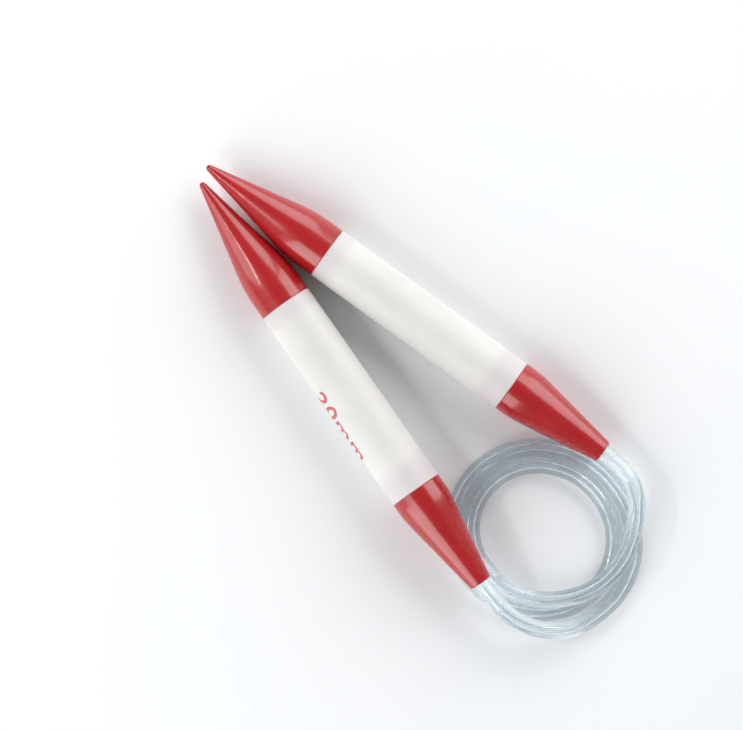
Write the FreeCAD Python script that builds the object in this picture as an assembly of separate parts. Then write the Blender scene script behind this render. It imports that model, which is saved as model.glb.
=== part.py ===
"""Circular knitting needle: two hollow needles joined by a clear plastic tube cord.

Frame, in millimetres: +Z up, +Y towards the tips, the needles side by side along X and lying
on Z = 0. The origin is under the middle of the two needles. Each needle is made along +Z with
its cord end at the origin, and is then laid down. The cord leaves needle a, winds nearly two
and a half turns counter-clockwise seen from above, and goes into needle b.
"""
import FreeCAD, Part
import math
import os

from FreeCAD import Rotation, Vector

os.makedirs("parts", exist_ok=True)

# --- driving dimensions -------------------------------------------------------------------
needle_diameter = 20.0
tip_length = 54.3
barrel_length = 83.2
ferrule_length = 41.5

point_radius = 1.25         # rounded end of the tip
tip_collar = 12.37          # from the joint line to where the tip's cone meets the full diameter
shoulder_radius = 62.0      # long arc that blends that corner
ferrule_collar = 6.84       # the same for the ferrule's cone
ferrule_blend_radius = 40.0
ferrule_end_wall = 0.9      # round the cord, where it goes in
ferrule_end_chamfer = 0.4

barrel_wall = 1.5
tip_wall = 1.8
ferrule_wall = 1.8
rim_chamfer = 0.25          # on the edges that meet at a joint line

spigot_length = 12.0
spigot_wall = 1.6
spigot_clearance = 0.05     # between spigot and barrel, on the radius
spigot_lead = 0.8           # length of the chamfer that leads the spigot in
spigot_lead_depth = 0.5
bead_height = 0.35          # snap bead round the spigot
bead_width = 1.8            # at its foot
bead_crest = 0.6            # at its top
bead_setback = 3.6          # from the spigot's free end to the middle of the bead
slot_width = 1.4            # slots that let the spigot's fingers spring
slot_length = 8.0
slot_count = 4

cord_diameter = 6.4
cord_bore = 2.0
cord_clearance = 0.1        # between the cord and the bore that it sits in, on the radius
grip_length = 16.0          # straight bore that holds the cord
flare_length = 3.0          # cone that the cord's spread end is pulled against
flare_rise = 0.9            # how much the cord's end is spread, on the radius
seat_length = 5.0           # spread stretch of the cord behind the cone
mouth_chamfer = 0.3         # flared mouth of the bore
mouth_depth = 0.6

plug_clearance = 0.05       # between the plug and the spread bore, on the radius
plug_nose_length = 5.0      # part that reaches into the straight bore
plug_nose_taper = 3.0       # length of its pointed end
plug_nose_radius = 0.4
plug_barb_count = 2
plug_barb_depth = 0.35
plug_barb_land = 0.6        # straight part of each barb
plug_head_thickness = 1.8

exit_spacing = 65.44        # between the cord ends, across the middle line between the needles
exit_y_a = -89.2
exit_y_b = -86.65
tip_gap = 0.46              # between the shoulders, where the needles come closest
overlap_a = 21.3            # length of ferrule a that is over the coil
coil_clearance = 0.454      # between the coil and the ferrule, where they come closest

coil_centre = (-5.4, -91.85)
coil_reach = 36.715         # from the centre to the outer edge of the turns, towards +X
coil_gap = 0.25             # between neighbouring turns
coil_oval = 0.75
coil_oval_direction = -76.1  # degrees
coil_loose = 1.0            # how far the first turn starts outside its spiral
coil_loose_sweep = 100.0    # degrees that it takes to come in
coil_start = -90.0          # degrees, where the cord has come down from needle a
coil_end = 525.0            # degrees, where it starts to climb to needle b
coil_edge_chamfer = 2.0
coil_arcs = 10              # arcs in each turn of the coil's outline

arc_share = 0.45            # of the shorter run beside a corner, taken by the arc
straight_a = 13.0           # the cord leaves each needle along its axis
straight_b = 10.5
route_a = [
    (-30.6, -116.2, 11.0),
    (-20.4, -126.2, 6.0),
]
route_b = [
    (-28.4, -97.4, 5.0),
    (-23.6, -107.6, 7.0),
    (-14.8, -115.3, 8.9),
    (-3.8, -119.3, 9.9),
    (8.0, -119.6, 10.0),
    (19.7, -116.2, 10.0),
    (30.6, -107.8, 10.0),
]

# --- sizes that follow from them ----------------------------------------------------------
needle_radius = needle_diameter / 2
cord_radius = cord_diameter / 2
barrel_start = ferrule_length
barrel_end = ferrule_length + barrel_length
needle_length = barrel_end + tip_length
barrel_bore_radius = needle_radius - barrel_wall
spigot_radius = barrel_bore_radius - spigot_clearance
spigot_bore_radius = spigot_radius - spigot_wall
grip_radius = cord_radius + cord_clearance
coil_pitch = cord_diameter + coil_gap
coil_radius = coil_reach - coil_pitch / 2


def blend_length(radius, half_angle):
    """Distance from a corner to each end of the arc that blends it."""
    return radius * math.tan(half_angle / 2)


def angle_where(along, across, total):
    """Angle for which along * sin(angle) - across * cos(angle) is the total."""
    return math.atan2(across, along) + math.asin(total / math.hypot(along, across))


# half the angle of the tip's cone, which touches the rounded point and meets its corner
point_half_angle = angle_where(
    tip_length - tip_collar - point_radius, needle_radius, -point_radius
)
point_slope = math.tan(point_half_angle)
shoulder_reach = blend_length(shoulder_radius, point_half_angle)
shoulder_start = barrel_end + tip_collar - shoulder_reach

ferrule_end_radius = grip_radius + ferrule_end_wall
ferrule_slope = (needle_radius - ferrule_end_radius) / (ferrule_length - ferrule_collar)
ferrule_half_angle = math.atan(ferrule_slope)


def arc_between(start, end, radius, bulge):
    """Arc in the XZ plane from start to end; bulge is +1 when it bows towards +X."""
    chord = end - start
    half = chord.Length / 2
    rise = radius - math.sqrt(radius ** 2 - half ** 2)
    side = Vector(chord.z, 0, -chord.x).normalize() * bulge
    if side.x * bulge < 0:
        side = side * -1
    middle = (start + end) * 0.5 + side * rise
    return Part.Arc(start, middle, end).toShape()


def at(radius, height):
    return Vector(radius, 0, height)


def turned(edges):
    """Solid of revolution about Z of a closed outline in the XZ plane."""
    return Part.Face(Part.Wire(edges)).revolve(Vector(), Vector(0, 0, 1), 360)


def outline(*items):
    """Edges through the points given in order; an edge among them is used as it is."""
    edges = []
    last = None
    for item in items:
        if isinstance(item, Vector):
            if last is not None and last.distanceToPoint(item) > 1e-6:
                edges.append(Part.LineSegment(last, item).toShape())
            last = item
        else:
            first, second = item.Vertexes[0].Point, item.Vertexes[-1].Point
            if last is not None and last.distanceToPoint(first) > 1e-6:
                edges.append(Part.LineSegment(last, first).toShape())
            edges.append(item)
            last = second
    return edges


# --- spigots, which the tip and the ferrule share -------------------------------------------
def spigot_outline(root, direction):
    """Outer edge of a spigot, from its root on a joint line to its free end."""
    free = root + direction * spigot_length
    bead = free - direction * bead_setback
    return [
        at(spigot_radius, root),
        at(spigot_radius, bead - direction * bead_width / 2),
        at(spigot_radius + bead_height, bead - direction * bead_crest / 2),
        at(spigot_radius + bead_height, bead + direction * bead_crest / 2),
        at(spigot_radius, bead + direction * bead_width / 2),
        at(spigot_radius, free - direction * spigot_lead),
        at(spigot_radius - spigot_lead_depth, free),
        at(spigot_bore_radius, free),
    ]


def groove_outline(middle):
    """The barrel's groove that a snap bead springs into."""
    foot = bead_width / 2 + spigot_clearance
    crest = bead_crest / 2 + spigot_clearance
    depth = bead_height + spigot_clearance
    return [
        at(barrel_bore_radius, middle - foot),
        at(barrel_bore_radius + depth, middle - crest),
        at(barrel_bore_radius + depth, middle + crest),
        at(barrel_bore_radius, middle + foot),
    ]


def slots(root, direction):
    """Cutters for the slots that divide a spigot's free end into springing fingers."""
    free = root + direction * spigot_length
    low = min(free, free - direction * slot_length)
    cutters = []
    for index in range(slot_count):
        cutter = Part.makeBox(
            needle_radius, slot_width, slot_length, Vector(0, -slot_width / 2, low)
        )
        cutter.rotate(Vector(), Vector(0, 0, 1), 45 + index * 360 / slot_count)
        cutters.append(cutter)
    return cutters


# --- the pieces of one needle, along +Z with the cord end at 0 ------------------------------
def make_tip():
    """Hollow pointed end: rounded point, cone, long shoulder arc, snap spigot."""
    point_centre = needle_length - point_radius
    corner = barrel_end + tip_collar
    shoulder = arc_between(
        at(needle_radius, shoulder_start),
        at(
            needle_radius - shoulder_reach * math.sin(point_half_angle),
            corner + shoulder_reach * math.cos(point_half_angle),
        ),
        shoulder_radius,
        1,
    )
    halfway = math.radians(45) + point_half_angle / 2
    point = Part.Arc(
        *(
            at(point_radius * math.cos(turn), point_centre + point_radius * math.sin(turn))
            for turn in (point_half_angle, halfway, math.radians(90))
        )
    ).toShape()

    # the cored inside is the same cone, one wall in, down to a flat end as wide as the point
    core_offset = tip_wall / math.cos(point_half_angle)
    core_corner = corner + (needle_radius - spigot_bore_radius - core_offset) / point_slope
    core_end = corner + (needle_radius - core_offset - point_radius) / point_slope

    profile = outline(
        at(0, core_end),
        at(point_radius, core_end),
        at(spigot_bore_radius, core_corner),
        *reversed(spigot_outline(barrel_end, -1)),
        at(needle_radius - rim_chamfer, barrel_end),
        at(needle_radius, barrel_end + rim_chamfer),
        shoulder,
        point,
        at(0, core_end),
    )
    return turned(profile).cut(slots(barrel_end, -1))


def make_barrel():
    """Straight tube with a groove near each end for the spigots' snap beads."""
    setback = spigot_length - bead_setback
    return turned(outline(
        at(barrel_bore_radius, barrel_start),
        at(needle_radius - rim_chamfer, barrel_start),
        at(needle_radius, barrel_start + rim_chamfer),
        at(needle_radius, barrel_end - rim_chamfer),
        at(needle_radius - rim_chamfer, barrel_end),
        at(barrel_bore_radius, barrel_end),
        *reversed(groove_outline(barrel_end - setback)),
        *reversed(groove_outline(barrel_start + setback)),
        at(barrel_bore_radius, barrel_start),
    ))


def ferrule_radius_at(height):
    """Outer radius of the ferrule's cone, short of its blend into the cylinder."""
    return min(needle_radius, ferrule_end_radius + height * ferrule_slope)


def make_ferrule():
    """Tapered cord end: bell-mouthed grip bore, seat for the spread cord, snap spigot."""
    corner = ferrule_length - ferrule_collar
    reach = blend_length(ferrule_blend_radius, ferrule_half_angle)
    blend = arc_between(
        at(
            needle_radius - reach * math.sin(ferrule_half_angle),
            corner - reach * math.cos(ferrule_half_angle),
        ),
        at(needle_radius, corner + reach),
        ferrule_blend_radius,
        1,
    )
    chamber_radius = grip_radius + flare_rise
    chamber_start = grip_length + flare_length
    cone_start = chamber_start + seat_length
    cone_radius = ferrule_radius_at(cone_start) - ferrule_wall / math.cos(ferrule_half_angle)
    cone_end = cone_start + (spigot_bore_radius - cone_radius) / ferrule_slope
    profile = outline(
        at(grip_radius, mouth_depth),
        at(grip_radius + mouth_chamfer, 0),
        at(ferrule_end_radius - ferrule_end_chamfer, 0),
        at(ferrule_radius_at(ferrule_end_chamfer), ferrule_end_chamfer),
        blend,
        at(needle_radius, barrel_start - rim_chamfer),
        at(needle_radius - rim_chamfer, barrel_start),
        *spigot_outline(barrel_start, 1),
        at(spigot_bore_radius, cone_end),
        at(cone_radius, cone_start),
        at(chamber_radius, cone_start),
        at(chamber_radius, chamber_start),
        at(grip_radius, grip_length),
        at(grip_radius, mouth_depth),
    )
    return turned(profile).cut(slots(barrel_start, 1))


def make_cord_end():
    """The cord's end inside the ferrule, spread over the plug behind the seat."""
    bore = cord_bore / 2
    back = grip_length + flare_length
    end = back + seat_length
    return turned(outline(
        at(bore, 0),
        at(cord_radius, 0),
        at(cord_radius, grip_length),
        at(cord_radius + flare_rise, back),
        at(cord_radius + flare_rise, end),
        at(bore + flare_rise, end),
        at(bore + flare_rise, back),
        at(bore, grip_length),
        at(bore, 0),
    ))


def make_cord_plug():
    """Barbed plug that spreads the cord's end, so that it can't be pulled out of its seat."""
    stem = cord_bore / 2 - plug_clearance
    spread = stem + flare_rise
    back = grip_length + flare_length
    end = back + seat_length
    barb = seat_length / plug_barb_count
    points = [
        at(0, grip_length - plug_nose_length),
        at(plug_nose_radius, grip_length - plug_nose_length),
        at(stem, grip_length - plug_nose_length + plug_nose_taper),
        at(stem, grip_length),
        at(spread, back),
    ]
    for index in range(plug_barb_count):
        foot = back + index * barb
        points.append(at(spread, foot + plug_barb_land))
        points.append(at(spread - plug_barb_depth, foot + barb))
        if index < plug_barb_count - 1:
            points.append(at(spread, foot + barb))
    points += [
        at(spread - plug_barb_depth, end + plug_clearance),
        at(cord_radius + flare_rise, end + plug_clearance),
        at(cord_radius + flare_rise, end + plug_head_thickness),
        at(0, end + plug_head_thickness),
        at(0, grip_length - plug_nose_length),
    ]
    return turned(outline(*points))


# --- where the needles lie ------------------------------------------------------------------
class Laid:
    """A needle's place: where the cord leaves it, and the direction of its tip."""

    def __init__(self, name, exit_point, heading, lean):
        self.name = name
        self.exit = exit_point
        self.direction = Vector(
            math.sin(heading) * math.cos(lean),
            math.cos(heading) * math.cos(lean),
            -math.sin(lean),
        )

    def place(self, shape):
        placed = shape.copy()
        placed.Placement = FreeCAD.Placement(
            self.exit, Rotation(Vector(0, 0, 1), self.direction)
        )
        return placed

    def ahead(self, distance):
        """Point on the axis, that far beyond the cord end."""
        return self.exit + self.direction * distance


# each needle turns in until its shoulder arc is half the gap from the middle line
half_spread = angle_where(
    shoulder_start,
    shoulder_radius - needle_radius,
    exit_spacing / 2 - tip_gap / 2 - shoulder_radius,
)
# needle a lies on its shoulder arc, and leans until its ferrule clears the coil
lean_a = angle_where(
    shoulder_start - overlap_a,
    shoulder_radius - needle_radius,
    cord_diameter + coil_clearance + ferrule_radius_at(overlap_a) - shoulder_radius,
)
exit_height_a = (
    shoulder_radius
    - (shoulder_radius - needle_radius) * math.cos(lean_a)
    + shoulder_start * math.sin(lean_a)
)
needle_a = Laid("a", Vector(-exit_spacing / 2, exit_y_a, exit_height_a), half_spread, lean_a)
needle_b = Laid("b", Vector(exit_spacing / 2, exit_y_b, needle_radius), -half_spread, 0.0)


# --- the cord ---------------------------------------------------------------------------------
def coil_radius_at(angle):
    """Radius of the coil's centreline at an angle in degrees, one pitch less after each turn."""
    oval = coil_oval * math.cos(math.radians(2 * (angle - coil_oval_direction)))
    eased = min(1, (angle - coil_start) / coil_loose_sweep)
    loose = coil_loose * (1 + math.cos(math.pi * eased)) / 2
    return coil_radius - coil_pitch * angle / 360 + oval + loose


def coil_point(angle, offset=0.0, height=cord_radius):
    radius = coil_radius_at(angle) + offset
    return Vector(
        coil_centre[0] + radius * math.cos(math.radians(angle)),
        coil_centre[1] + radius * math.sin(math.radians(angle)),
        height,
    )


def spiral_edges(start, offset):
    """One turn of arcs at the coil's underside, that far outside or inside its centreline."""
    sweep = 360 / coil_arcs
    edges = []
    for index in range(coil_arcs):
        angles = (start + sweep * (index + share) for share in (0, 0.5, 1))
        edges.append(Part.Arc(*(coil_point(angle, offset, 0.0) for angle in angles)).toShape())
    return edges


def make_cord_coil():
    """Outer shape of the turns that lie flat, side by side."""
    half = coil_pitch / 2
    lift = Vector(0, 0, cord_diameter)
    loops = []
    for start, offset in ((coil_start, half), (coil_end - 360, -half)):
        edges = spiral_edges(start, offset)
        step = Part.LineSegment(edges[-1].Vertexes[-1].Point, edges[0].Vertexes[0].Point)
        loops.append(Part.Face(Part.Wire(edges + [step.toShape()])).extrude(lift))
    coil = loops[0].cut(loops[1])
    # the long level edges, and not the steps between turns
    rims = [
        edge for edge in coil.Edges
        if edge.BoundBox.ZLength < 0.001 and edge.Length > 1.5 * coil_pitch
    ]
    return coil.makeChamfer(coil_edge_chamfer, rims)


def rounded_path(points):
    """Straight runs joined by tangent arcs, as large as the runs beside each corner allow."""
    edges = []
    radii = []
    start = points[0]
    for before, corner, after in zip(points, points[1:], points[2:]):
        back = before - corner
        on = after - corner
        turn = math.pi - back.getAngle(on)
        reach = arc_share * min(back.Length, on.Length)
        radius = reach / math.tan(turn / 2)
        back.normalize()
        on.normalize()
        arc_start = corner + back * reach
        arc_end = corner + on * reach
        inward = (back + on).normalize()
        middle = corner + inward * (radius / math.cos(turn / 2) - radius)
        edges.append(Part.LineSegment(start, arc_start).toShape())
        edges.append(Part.Arc(arc_start, middle, arc_end).toShape())
        radii.append(radius)
        start = arc_end
    edges.append(Part.LineSegment(start, points[-1]).toShape())
    return Part.Wire(edges), radii


def make_cord_lead(name, points):
    """Plain round cord along the points of a stretch that isn't coiled."""
    path, radii = rounded_path(points)
    ring = Part.Wire(Part.makeCircle(cord_radius, points[0], points[1] - points[0]))
    tube = path.makePipeShell([ring], True, False)
    section = math.pi * cord_radius ** 2
    print(name, "length", round(path.Length, 1), "radii", [round(r, 1) for r in radii])
    print(name, "volume over section times length", round(tube.Volume / section / path.Length, 4))
    return tube


def lead_points_a():
    exits = [needle_a.exit, needle_a.ahead(-straight_a)]
    return exits + [Vector(*point) for point in route_a] + [coil_point(coil_start)]


def lead_points_b():
    exits = [needle_b.ahead(-straight_b), needle_b.exit]
    return [coil_point(coil_end)] + [Vector(*point) for point in route_b] + exits


# --- the whole assembly -------------------------------------------------------------------------
def build():
    pieces = {}
    made = {
        "tip": make_tip(),
        "barrel": make_barrel(),
        "ferrule": make_ferrule(),
        "cord_end": make_cord_end(),
        "cord_plug": make_cord_plug(),
    }
    for needle in (needle_a, needle_b):
        for name, shape in made.items():
            pieces[f"{name}_{needle.name}"] = needle.place(shape)
    pieces["cord_coil"] = make_cord_coil()
    pieces["cord_lead_a"] = make_cord_lead("cord_lead_a", lead_points_a())
    pieces["cord_lead_b"] = make_cord_lead("cord_lead_b", lead_points_b())
    return pieces


for node, shape in build().items():
    solids = shape.Solids
    if len(solids) != 1 or not shape.isValid():
        raise RuntimeError(f"{node}: {len(solids)} solids, valid {shape.isValid()}")
    solids[0].exportStep(f"parts/{node}.step")
    print(node, "volume", round(shape.Volume, 1))
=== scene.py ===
"""Looks of a circular knitting needle: red moulded tips and cord ends, white satin barrels, and
a clear tube cord that leaves one needle, lies in a loose coil and goes into the other.

Metres, in the part's own frame: +Z up, +Y towards the tips, the floor at Z = 0.
"""
import bmesh
import bpy
import math
from mathutils import Euler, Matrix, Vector


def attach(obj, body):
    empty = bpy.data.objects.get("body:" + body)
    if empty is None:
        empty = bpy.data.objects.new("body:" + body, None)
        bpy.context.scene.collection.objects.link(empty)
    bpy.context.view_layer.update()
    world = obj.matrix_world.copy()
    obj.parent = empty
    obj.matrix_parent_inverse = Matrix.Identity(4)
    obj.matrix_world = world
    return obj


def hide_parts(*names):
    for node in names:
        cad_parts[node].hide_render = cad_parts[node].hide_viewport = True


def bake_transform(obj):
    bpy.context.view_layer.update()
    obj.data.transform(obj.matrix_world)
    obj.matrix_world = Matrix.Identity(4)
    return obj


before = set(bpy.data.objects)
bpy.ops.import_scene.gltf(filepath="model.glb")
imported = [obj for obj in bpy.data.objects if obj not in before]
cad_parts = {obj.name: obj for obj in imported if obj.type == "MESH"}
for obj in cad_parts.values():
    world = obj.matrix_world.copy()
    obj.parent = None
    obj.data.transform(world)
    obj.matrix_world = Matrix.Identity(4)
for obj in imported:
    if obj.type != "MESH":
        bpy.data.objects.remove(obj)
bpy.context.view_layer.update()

UP = Vector((0, 0, 1))

# --- the needles --------------------------------------------------------------------------------
EXIT_A = Vector((-0.03272, -0.0892, 0.01551))       # where the cord leaves each needle
EXIT_B = Vector((0.03272, -0.08665, 0.01))
AXIS_A = Vector((0.166613, 0.985133, -0.041875))    # from each needle's cord end to its tip
AXIS_B = Vector((-0.166760, 0.985998, 0.0))
NEEDLE_RADIUS = 0.01
BARREL_START = 0.0415       # along a needle, from its cord end
BARREL_END = 0.1247

# --- the cord's size and route ------------------------------------------------------------------
CORD_DIAMETER = 0.0064
CORD_BORE = 0.0020
TUBE_SIDES = 56
SPAN_STEPS = 8              # points read from the route's spline between two of its own

STRAIGHT_A = 0.013          # the route leaves each needle along its axis
STRAIGHT_B = 0.0105
ROUTE_A = [
    (-0.0306, -0.1162, 0.0110),
    (-0.0204, -0.1262, 0.0060),
]
ROUTE_B = [
    (-0.0284, -0.0974, 0.0050),
    (-0.0236, -0.1076, 0.0070),
    (-0.0150, -0.1157, 0.0089),
    (-0.0037, -0.1208, 0.0099),
    (0.0087, -0.1209, 0.0100),
    (0.0197, -0.1162, 0.0100),
    (0.0298, -0.1079, 0.0100),
]

COIL_CENTRE = Vector((-0.0054, -0.09185, 0))
COIL_RADIUS = 0.03339       # of the spiral that the turns follow, at 0 degrees
COIL_PITCH = 0.00665        # how much smaller each turn is than the one before
COIL_OVAL = 0.00075         # how much the radius grows along the oval's long side
COIL_OVAL_DIRECTION = -76.1
COIL_LOOSE = 0.001          # how far the first turn starts outside its spiral
COIL_LOOSE_SWEEP = 100.0    # degrees that it takes to come in
COIL_START = -90.0
COIL_END = 525.0
COIL_STEP = 15.0            # degrees between two of the route's points

# --- the size mark ------------------------------------------------------------------------------
MARK_TEXT = "20mm"
MARK_HEIGHT = 0.0112        # size of the letters
MARK_SPACING = 1.08
MARK_STROKE = 0.00017       # how much bolder than the plain letters, on each side of a stroke
MARK_START = 0.0910         # from needle a's cord end to the mark's first letter
MARK_ANGLE = 91.0           # degrees from the top round to the mark's base line
MARK_PROUD = 0.00003
MARK_CURVE_STEPS = 6
MARK_CUTS = 24              # strips that the letters are cut into, so that they can bend
MARK_DESCENT = 0.1          # how far below the base line the cuts start, as a share of the size
SAME_POINT = 1e-7

# --- colours ------------------------------------------------------------------------------------
# Each surface has soft clouds between its two colours.
RED = ((0.40, 0.007, 0.009), (0.46, 0.011, 0.013))
WHITE = ((0.735, 0.715, 0.675), (0.775, 0.76, 0.725))
CLEAR = ((0.86, 0.92, 0.95), (0.92, 0.96, 0.975))
NATURAL = ((0.66, 0.63, 0.55), (0.72, 0.70, 0.63))
INK = ((0.56, 0.10, 0.11), (0.62, 0.14, 0.15))
FLOOR = ((0.91, 0.92, 0.93), (0.93, 0.94, 0.95))
NOISE_LOW = 0.3             # the noise's factor lies mostly between these two
NOISE_HIGH = 0.7

# The red spigots show faintly through the barrel's ends: (place along the barrel, tint).
SPIGOT_TINTS = (
    (0.0, (0.925, 0.87, 0.915)),
    (0.090, (0.93, 0.88, 0.925)),
    (0.145, (1.0, 1.0, 1.0)),
    (0.910, (1.0, 1.0, 1.0)),
    (0.950, (0.94, 0.895, 0.935)),
    (1.0, (0.935, 0.88, 0.935)),
)

FREE_TRANSMISSION = 0.92    # of the clear tube
SEATED_TRANSMISSION = 0.25  # of its ends inside the ferrules, where they would look dark
LAMP_LIGHT_PASSED = (0.36, 0.38, 0.40, 1)   # share of a lamp's light that gets through the tube

# --- the lights ---------------------------------------------------------------------------------
TIP_A = (-0.019, 0.055, 0.01)
TIP_B = (0.019, 0.055, 0.01)
END_A = (-0.030, -0.070, 0.015)
END_B = (0.030, -0.070, 0.01)
LIGHT_DISTANCE = 1.2
# What each light faces, its azimuth and elevation from there, its width and height, its radiance.
LIGHTS = {
    "tip_box_a": (TIP_A, 141, 22, 0.50, 0.80, 2.8),
    "end_box_a": (END_A, 182, 30, 0.54, 1.30, 4.2),
    "tip_box_b": (TIP_B, 30, 26, 0.66, 1.0, 3.6),
    "end_box_b": (END_B, 356, 28, 0.56, 1.2, 3.9),
    "key_light": (TIP_A, 136, 47, 0.40, 0.05, 38),
}
SKY_COLOUR = (0.92, 0.96, 1.0, 1)
SKY_STRENGTH = 0.25
FLOOR_SIZE = 6

# --- the view -----------------------------------------------------------------------------------
VIEW_TURN = 44.6            # degrees that the camera is turned about the vertical
VIEW_WIDTH = 0.2722         # width of the picture at the needles' height
VIEW_CENTRE = Vector((-0.0053, -0.0044, 0.01))
VIEW_DISTANCE = 1.6         # height of the camera
SENSOR = 36.0
VIEW_REACH = 10             # farthest that the camera sees


# --- node helpers -------------------------------------------------------------------------------
def new_material(name):
    """An empty node material: itself, its node tree and its Principled shader."""
    material = bpy.data.materials.new(name)
    material.use_nodes = True
    tree = material.node_tree
    tree.nodes.clear()
    output = tree.nodes.new("ShaderNodeOutputMaterial")
    shader = tree.nodes.new("ShaderNodeBsdfPrincipled")
    tree.links.new(shader.outputs["BSDF"], output.inputs["Surface"])
    return material, tree, shader


def set_inputs(shader, values):
    """Sets the shader's own sockets, for what is the same all over."""
    for name, value in values.items():
        shader.inputs[name].default_value = value


def noise(tree, scale, detail):
    """Noise in the object's own metres."""
    place = tree.nodes.new("ShaderNodeTexCoord")
    node = tree.nodes.new("ShaderNodeTexNoise")
    node.inputs["Scale"].default_value = scale
    node.inputs["Detail"].default_value = detail
    tree.links.new(place.outputs["Object"], node.inputs["Vector"])
    return node.outputs["Fac"]


def ramp(tree, source, stops):
    """Colours along a factor: each stop is (position, colour)."""
    node = tree.nodes.new("ShaderNodeValToRGB")
    elements = node.color_ramp.elements
    while len(elements) < len(stops):
        elements.new(0.5)
    for element, (position, colour) in zip(elements, stops):
        element.position = position
        element.color = (*colour, 1)
    tree.links.new(source, node.inputs["Fac"])
    return node.outputs["Color"]


def clouds(tree, colours, scale, detail):
    """Soft clouds between two colours."""
    stops = list(zip((NOISE_LOW, NOISE_HIGH), colours))
    return ramp(tree, noise(tree, scale, detail), stops)


def map_range(tree, source, from_low, from_high, to_low, to_high):
    """The value, mapped from one range onto another."""
    node = tree.nodes.new("ShaderNodeMapRange")
    node.inputs["From Min"].default_value = from_low
    node.inputs["From Max"].default_value = from_high
    node.inputs["To Min"].default_value = to_low
    node.inputs["To Max"].default_value = to_high
    tree.links.new(source, node.inputs["Value"])
    return node.outputs["Result"]


def roughen(tree, shader, scale, detail, low, high):
    """Roughness that varies between two values."""
    source = noise(tree, scale, detail)
    varied = map_range(tree, source, NOISE_LOW, NOISE_HIGH, low, high)
    tree.links.new(varied, shader.inputs["Roughness"])


def bump(tree, shader, scale, detail, strength, distance):
    """Fine unevenness of the surface."""
    node = tree.nodes.new("ShaderNodeBump")
    node.inputs["Strength"].default_value = strength
    node.inputs["Distance"].default_value = distance
    tree.links.new(noise(tree, scale, detail), node.inputs["Height"])
    tree.links.new(node.outputs["Normal"], shader.inputs["Normal"])


def along(tree, start, axis, low, high):
    """0 to 1 between two places on the axis, given in metres from its start."""
    place = tree.nodes.new("ShaderNodeTexCoord")
    shift = tree.nodes.new("ShaderNodeVectorMath")
    shift.operation = "SUBTRACT"
    shift.inputs[1].default_value = start
    reach = tree.nodes.new("ShaderNodeVectorMath")
    reach.operation = "DOT_PRODUCT"
    reach.inputs[1].default_value = axis
    tree.links.new(place.outputs["Object"], shift.inputs[0])
    tree.links.new(shift.outputs["Vector"], reach.inputs[0])
    return map_range(tree, reach.outputs["Value"], low, high, 0, 1)


def multiply(tree, colour, tint):
    """The colour times the tint."""
    node = tree.nodes.new("ShaderNodeMix")
    node.data_type = "RGBA"
    node.blend_type = "MULTIPLY"
    factor = node.inputs[0]
    first_colour = node.inputs[6]
    second_colour = node.inputs[7]
    mixed_colour = node.outputs[2]
    factor.default_value = 1
    tree.links.new(colour, first_colour)
    tree.links.new(tint, second_colour)
    return mixed_colour


# --- materials ----------------------------------------------------------------------------------
def red_plastic():
    """Glossy moulded red, a little cloudy and uneven."""
    material, tree, shader = new_material("red_plastic")
    tree.links.new(clouds(tree, RED, scale=60, detail=3), shader.inputs["Base Color"])
    roughen(tree, shader, scale=350, detail=4, low=0.24, high=0.31)
    set_inputs(shader, {"IOR": 1.5, "Coat Weight": 0.45, "Coat Roughness": 0.08})
    bump(tree, shader, scale=160, detail=1, strength=0.10, distance=0.00006)
    return material


def white_plastic(name, start, axis):
    """Warm white satin tube, a little translucent, so that the spigots tint its two ends."""
    material, tree, shader = new_material(name)
    white = clouds(tree, WHITE, scale=45, detail=3)
    tint = ramp(tree, along(tree, start, axis, BARREL_START, BARREL_END), SPIGOT_TINTS)
    tree.links.new(multiply(tree, white, tint), shader.inputs["Base Color"])
    roughen(tree, shader, scale=300, detail=4, low=0.42, high=0.55)
    set_inputs(shader, {
        "Subsurface Weight": 0.1,
        "Subsurface Radius": (0.002, 0.0015, 0.0012),
        "Subsurface Scale": 1.0,
    })
    bump(tree, shader, scale=1200, detail=3, strength=0.15, distance=0.00003)
    return material


def clear_tube(name, transmission):
    """Clear soft tubing, slightly milky, which lets part of the lamps' light through."""
    material, tree, shader = new_material(name)
    tree.links.new(clouds(tree, CLEAR, scale=80, detail=2), shader.inputs["Base Color"])
    roughen(tree, shader, scale=120, detail=2, low=0.015, high=0.04)
    set_inputs(shader, {"Transmission Weight": transmission, "IOR": 1.45})
    bump(tree, shader, scale=90, detail=1, strength=0.04, distance=0.00006)
    path = tree.nodes.new("ShaderNodeLightPath")
    passed = tree.nodes.new("ShaderNodeBsdfTransparent")
    passed.inputs["Color"].default_value = LAMP_LIGHT_PASSED
    either = tree.nodes.new("ShaderNodeMixShader")
    output = tree.nodes["Material Output"]
    tree.links.new(path.outputs["Is Shadow Ray"], either.inputs["Fac"])
    tree.links.new(shader.outputs["BSDF"], either.inputs[1])
    tree.links.new(passed.outputs["BSDF"], either.inputs[2])
    tree.links.new(either.outputs["Shader"], output.inputs["Surface"])
    return material


def plug_plastic():
    """Natural, slightly yellow moulded plastic."""
    material, tree, shader = new_material("plug_plastic")
    tree.links.new(clouds(tree, NATURAL, scale=300, detail=3), shader.inputs["Base Color"])
    roughen(tree, shader, scale=900, detail=3, low=0.4, high=0.5)
    return material


def mark_ink():
    """Coral red printing ink, a little thin in places."""
    material, tree, shader = new_material("mark_ink")
    tree.links.new(clouds(tree, INK, scale=1500, detail=3), shader.inputs["Base Color"])
    roughen(tree, shader, scale=900, detail=3, low=0.45, high=0.6)
    return material


def floor_paint():
    """Plain pale floor."""
    material, tree, shader = new_material("floor_paint")
    tree.links.new(clouds(tree, FLOOR, scale=3, detail=2), shader.inputs["Base Color"])
    set_inputs(shader, {"Roughness": 0.8})
    return material


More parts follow.
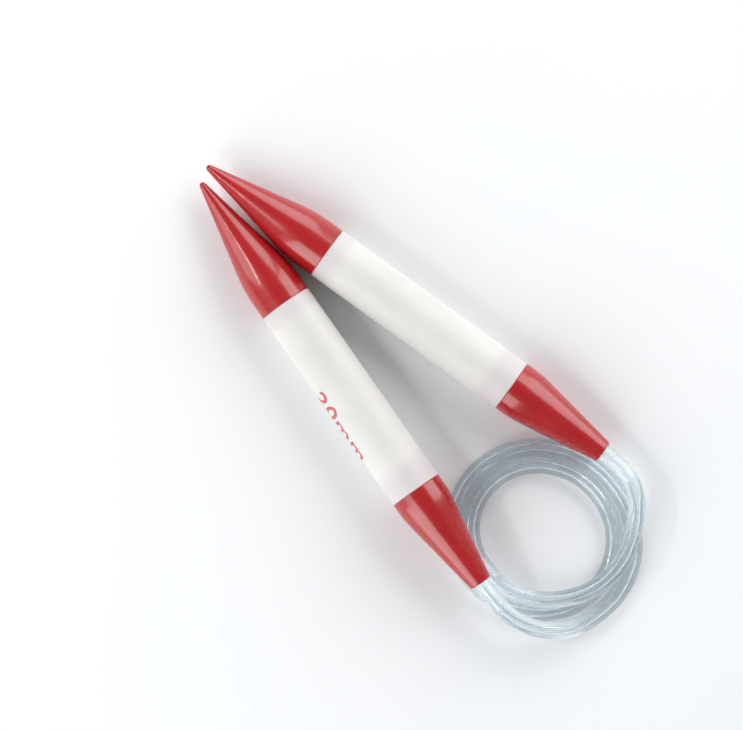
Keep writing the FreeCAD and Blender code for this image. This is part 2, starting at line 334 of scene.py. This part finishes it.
# --- the cord -----------------------------------------------------------------------------------
def coil_point(angle):
    """Point of the coil's route; one turn is a pitch smaller than the one before."""
    oval = COIL_OVAL * math.cos(math.radians(2 * (angle - COIL_OVAL_DIRECTION)))
    eased = min(1, (angle - COIL_START) / COIL_LOOSE_SWEEP)
    loose = COIL_LOOSE * (1 + math.cos(math.pi * eased)) / 2
    radius = COIL_RADIUS - COIL_PITCH * angle / 360 + oval + loose
    radius /= math.cos(math.radians(COIL_STEP / 2))
    side = Vector((math.cos(math.radians(angle)), math.sin(math.radians(angle)), 0))
    return COIL_CENTRE + side * radius + UP * CORD_DIAMETER / 2


def route_points():
    """The whole route, from needle a's cord end to needle b's."""
    points = [EXIT_A, EXIT_A - AXIS_A * STRAIGHT_A]
    points += [Vector(point) for point in ROUTE_A]
    steps = round((COIL_END - COIL_START) / COIL_STEP)
    points += [coil_point(COIL_START + COIL_STEP * index) for index in range(steps + 1)]
    points += [Vector(point) for point in ROUTE_B]
    return points + [EXIT_B - AXIS_B * STRAIGHT_B, EXIT_B]


def read_route(points):
    """Points of the smooth line that the route's spline makes."""
    curve = bpy.data.curves.new("route", "CURVE")
    curve.dimensions = "3D"
    spline = curve.splines.new("NURBS")
    spline.points.add(len(points) - 1)
    for control, point in zip(spline.points, points):
        control.co = (*point, 1)
    spline.order_u = 3
    spline.use_endpoint_u = True
    spline.resolution_u = SPAN_STEPS
    holder = bpy.data.objects.new("route", curve)
    bpy.context.scene.collection.objects.link(holder)
    mesh = bpy.data.meshes.new_from_object(holder)
    line = [vertex.co.copy() for vertex in mesh.vertices]
    bpy.data.objects.remove(holder)
    bpy.data.meshes.remove(mesh)
    return line


def cross_directions(line):
    """For each point of the line, two directions across it that don't twist along it."""
    side = (line[1] - line[0]).cross(UP).normalized()
    pairs = []
    for index in range(len(line)):
        before = line[max(index - 1, 0)]
        after = line[min(index + 1, len(line) - 1)]
        ahead = (after - before).normalized()
        side = (side - ahead * side.dot(ahead)).normalized()
        pairs.append((side, ahead.cross(side)))
    return pairs


def ring_points(point, directions, radius):
    """Points round the line, at one of its points."""
    side, other = directions
    turns = [2 * math.pi * corner / TUBE_SIDES for corner in range(TUBE_SIDES)]
    return [point + (side * math.cos(turn) + other * math.sin(turn)) * radius for turn in turns]


def ring_faces(base):
    """Faces from the ring whose points start at base to the next ring."""
    faces = []
    for corner in range(TUBE_SIDES):
        here = base + corner
        beside = base + (corner + 1) % TUBE_SIDES
        faces.append((here, beside, beside + TUBE_SIDES, here + TUBE_SIDES))
    return faces


def tube(name, line, pairs):
    """Hollow tube along the line, open at its ends, where it meets the next piece."""
    vertices = []
    faces = []
    for radius, outer in ((CORD_DIAMETER / 2, True), (CORD_BORE / 2, False)):
        base = len(vertices)
        for point, directions in zip(line, pairs):
            vertices += ring_points(point, directions, radius)
        for ring in range(len(line) - 1):
            wall = ring_faces(base + ring * TUBE_SIDES)
            faces += wall if outer else [face[::-1] for face in wall]
    mesh = bpy.data.meshes.new(name)
    mesh.from_pydata(vertices, [], faces)
    mesh.shade_smooth()
    piece = bpy.data.objects.new(name, mesh)
    bpy.context.scene.collection.objects.link(piece)
    piece.data.materials.append(TUBE_MATERIAL)
    return piece


def nearest(line, point):
    """Index of the line's point that is nearest to the point."""
    return min(range(len(line)), key=lambda index: (line[index] - point).length)


def make_cord():
    """The cord in three pieces: the coil, and the two stretches between it and the needles."""
    line = read_route(route_points())
    pairs = cross_directions(line)
    middle = len(line) // 2
    down = nearest(line[:middle], coil_point(COIL_START))
    rise = middle + nearest(line[middle:], coil_point(COIL_END))

    coil = tube("cord_turns", line[down:rise + 1], pairs[down:rise + 1])
    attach(coil, "cord")
    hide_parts("cord_coil")

    lead_a = tube("cord_from_a", line[:down + 1], pairs[:down + 1])
    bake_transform(lead_a)
    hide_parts("cord_lead_a")

    lead_b = tube("cord_from_b", line[rise:], pairs[rise:])
    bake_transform(lead_b)
    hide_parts("cord_lead_b")


# --- the size mark ------------------------------------------------------------------------------
def letters():
    """Flat mesh of the mark's letters, along +X and upright along +Y."""
    text = bpy.data.curves.new("size_mark", "FONT")
    text.body = MARK_TEXT
    text.size = MARK_HEIGHT
    text.space_character = MARK_SPACING
    text.offset = MARK_STROKE
    text.extrude = MARK_PROUD
    text.resolution_u = MARK_CURVE_STEPS
    holder = bpy.data.objects.new("holder", text)
    bpy.context.scene.collection.objects.link(holder)
    mesh = bpy.data.meshes.new_from_object(holder)
    bpy.data.objects.remove(holder)
    mesh.materials.clear()
    return mesh


def cut_into_strips(form):
    """Cuts the letters across their height, so that they can bend round the barrel."""
    bmesh.ops.remove_doubles(form, verts=form.verts, dist=SAME_POINT)
    for index in range(1, MARK_CUTS):
        bmesh.ops.bisect_plane(
            form, geom=form.verts[:] + form.edges[:] + form.faces[:],
            plane_co=(0, MARK_HEIGHT * (index / MARK_CUTS - MARK_DESCENT), 0),
            plane_no=(0, 1, 0),
        )


def wrap(form):
    """Lays the letters round the side of needle a's barrel."""
    left = UP.cross(AXIS_A).normalized()
    top = AXIS_A.cross(left)
    for vertex in form.verts:
        reach, height, out = vertex.co
        turn = math.radians(MARK_ANGLE) - height / NEEDLE_RADIUS
        radial = top * math.cos(turn) + left * math.sin(turn)
        centre = EXIT_A + AXIS_A * (MARK_START - reach)
        vertex.co = centre + radial * (NEEDLE_RADIUS + out)


def make_size_mark():
    """The needle's size, printed round the side of needle a's barrel."""
    mesh = letters()
    form = bmesh.new()
    form.from_mesh(mesh)
    cut_into_strips(form)
    wrap(form)
    form.to_mesh(mesh)
    form.free()
    mark = bpy.data.objects.new("size_mark", mesh)
    bpy.context.scene.collection.objects.link(mark)
    mark.data.materials.append(mark_ink())
    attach(mark, "needle_a")


# --- the CAD pieces' finish ---------------------------------------------------------------------
def finish_frame():
    """Gives the CAD pieces that stay their materials."""
    red = red_plastic()
    seated = clear_tube("seated_tube", SEATED_TRANSMISSION)
    plug = plug_plastic()
    finishes = {
        "barrel_a": white_plastic("white_plastic_a", EXIT_A, AXIS_A),
        "barrel_b": white_plastic("white_plastic_b", EXIT_B, AXIS_B),
    }
    for needle in "ab":
        finishes["tip_" + needle] = red
        finishes["ferrule_" + needle] = red
        finishes["cord_end_" + needle] = seated
        finishes["cord_plug_" + needle] = plug
    for name, finish in finishes.items():
        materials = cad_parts[name].data.materials
        materials.clear()
        materials.append(finish)


# --- the stage ----------------------------------------------------------------------------------
def make_light(name, target, azimuth, elevation, width, height, radiance):
    """Rectangular light that faces the target from that direction, in degrees."""
    light = bpy.data.lights.new(name, "AREA")
    light.shape = "RECTANGLE"
    light.size = width
    light.size_y = height
    light.energy = radiance * math.pi * width * height
    lamp = bpy.data.objects.new(name, light)
    bpy.context.scene.collection.objects.link(lamp)
    turn = math.radians(azimuth)
    rise = math.radians(elevation)
    level = math.cos(rise)
    away = Vector((math.cos(turn) * level, math.sin(turn) * level, math.sin(rise)))
    lamp.location = Vector(target) + LIGHT_DISTANCE * away
    lamp.rotation_euler = away.to_track_quat("Z", "Y").to_euler()


def make_stage():
    """Plain floor, pale sky and five lights."""
    bpy.ops.mesh.primitive_plane_add(size=FLOOR_SIZE, location=(0, 0, 0))
    floor = bpy.context.object
    floor.name = "floor"
    floor.data.materials.append(floor_paint())

    world = bpy.data.worlds.new("studio")
    world.use_nodes = True
    sky = world.node_tree.nodes["Background"]
    sky.inputs["Color"].default_value = SKY_COLOUR
    sky.inputs["Strength"].default_value = SKY_STRENGTH
    bpy.context.scene.world = world

    for name, values in LIGHTS.items():
        make_light(name, *values)


def make_camera():
    """Camera that looks straight down."""
    camera = bpy.data.cameras.new("camera")
    camera.sensor_width = SENSOR
    camera.lens = SENSOR * (VIEW_DISTANCE - VIEW_CENTRE.z) / VIEW_WIDTH
    camera.clip_end = VIEW_REACH
    holder = bpy.data.objects.new("camera", camera)
    bpy.context.scene.collection.objects.link(holder)
    holder.location = (VIEW_CENTRE.x, VIEW_CENTRE.y, VIEW_DISTANCE)
    holder.rotation_euler = Euler((0, 0, -math.radians(VIEW_TURN)))
    bpy.context.scene.camera = holder


TUBE_MATERIAL = clear_tube("clear_tube", FREE_TRANSMISSION)

bpy.context.scene.view_settings.view_transform = "Standard"
make_camera()
make_stage()
make_cord()
make_size_mark()
finish_frame()
